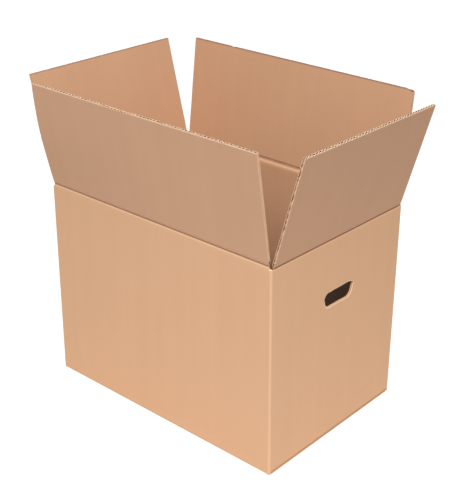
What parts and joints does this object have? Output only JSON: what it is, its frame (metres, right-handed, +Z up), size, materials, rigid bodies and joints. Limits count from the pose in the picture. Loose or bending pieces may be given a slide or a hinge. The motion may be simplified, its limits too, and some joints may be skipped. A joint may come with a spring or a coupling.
{
  "type": "moving box",
  "caption": "Corrugated moving box folded from one sheet, with hinged top flaps standing open, a closed bottom and hand holes in the short walls.",
  "frame": {"origin": "middle of the box's base, on the floor", "axes": "+Z up; +X along the long walls, towards the short wall at the right; +Y from the front long wall to the back one"},
  "size_m": [0.7017, 0.4636, 0.6571],
  "materials": {
    "kraft_board": "matte kraft liner",
    "flap_board": "matte kraft liner, open flutes at the cut edges"
  },
  "bodies": {
    "box_body": {"box_body": "kraft_board"},
    "front_flap": {"front_flap": "flap_board"},
    "back_flap": {"back_flap": "flap_board"},
    "right_flap": {"right_flap": "flap_board"},
    "left_flap": {"left_flap": "flap_board"}
  },
  "joints": [
    {"name": "front_flap_hinge", "type": "hinge", "parent": "box_body", "child": "front_flap", "pos_m": [0, -0.2, 0.436], "axis": [1, 0, 0], "range_deg": [-100, 155]},
    {"name": "back_flap_hinge", "type": "hinge", "parent": "box_body", "child": "back_flap", "pos_m": [0, 0.2, 0.436], "axis": [-1, 0, 0], "range_deg": [-94.5, 158.5]},
    {"name": "right_flap_hinge", "type": "hinge", "parent": "box_body", "child": "right_flap", "pos_m": [0.291, 0, 0.4305], "axis": [0, 1, 0], "range_deg": [-105.5, 149.5]},
    {"name": "left_flap_hinge", "type": "hinge", "parent": "box_body", "child": "left_flap", "pos_m": [-0.291, 0, 0.4305], "axis": [0, -1, 0], "range_deg": [-105, 150]}
  ]
}
